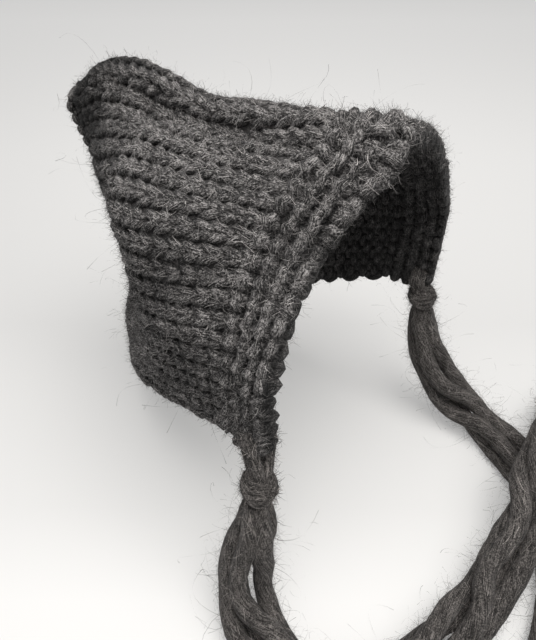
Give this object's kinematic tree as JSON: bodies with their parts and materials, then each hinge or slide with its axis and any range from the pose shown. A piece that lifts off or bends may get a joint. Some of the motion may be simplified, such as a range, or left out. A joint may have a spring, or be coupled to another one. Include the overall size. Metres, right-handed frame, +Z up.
{
  "type": "pixie hood",
  "caption": "Newborn's knitted pixie hood: a folded strip sewn down the back to a soft peak, with a garter face band and a knotted tie at each front corner.",
  "frame": {"origin": "the seat inside the crown, where the top of a head carries the hood", "axes": "+Z up, -Y out of the face opening, +Y towards the peak and the back seam, -X the wearer's right"},
  "size_m": [0.1493, 0.192, 0.1167],
  "materials": {
    "charcoal_wool": "heathered charcoal bulky wool, matt and hairy",
    "tie_wool": "unspun charcoal-brown wool strands, matt and hairy"
  },
  "bodies": {
    "root": {"hood_body": "charcoal_wool", "face_band": "charcoal_wool", "back_seam": "charcoal_wool", "tie_loop_right": "tie_wool", "tie_knot_right": "tie_wool", "tie_right": "tie_wool", "tie_loop_left": "tie_wool", "tie_knot_left": "tie_wool", "tie_left": "tie_wool"}
  },
  "joints": []
}
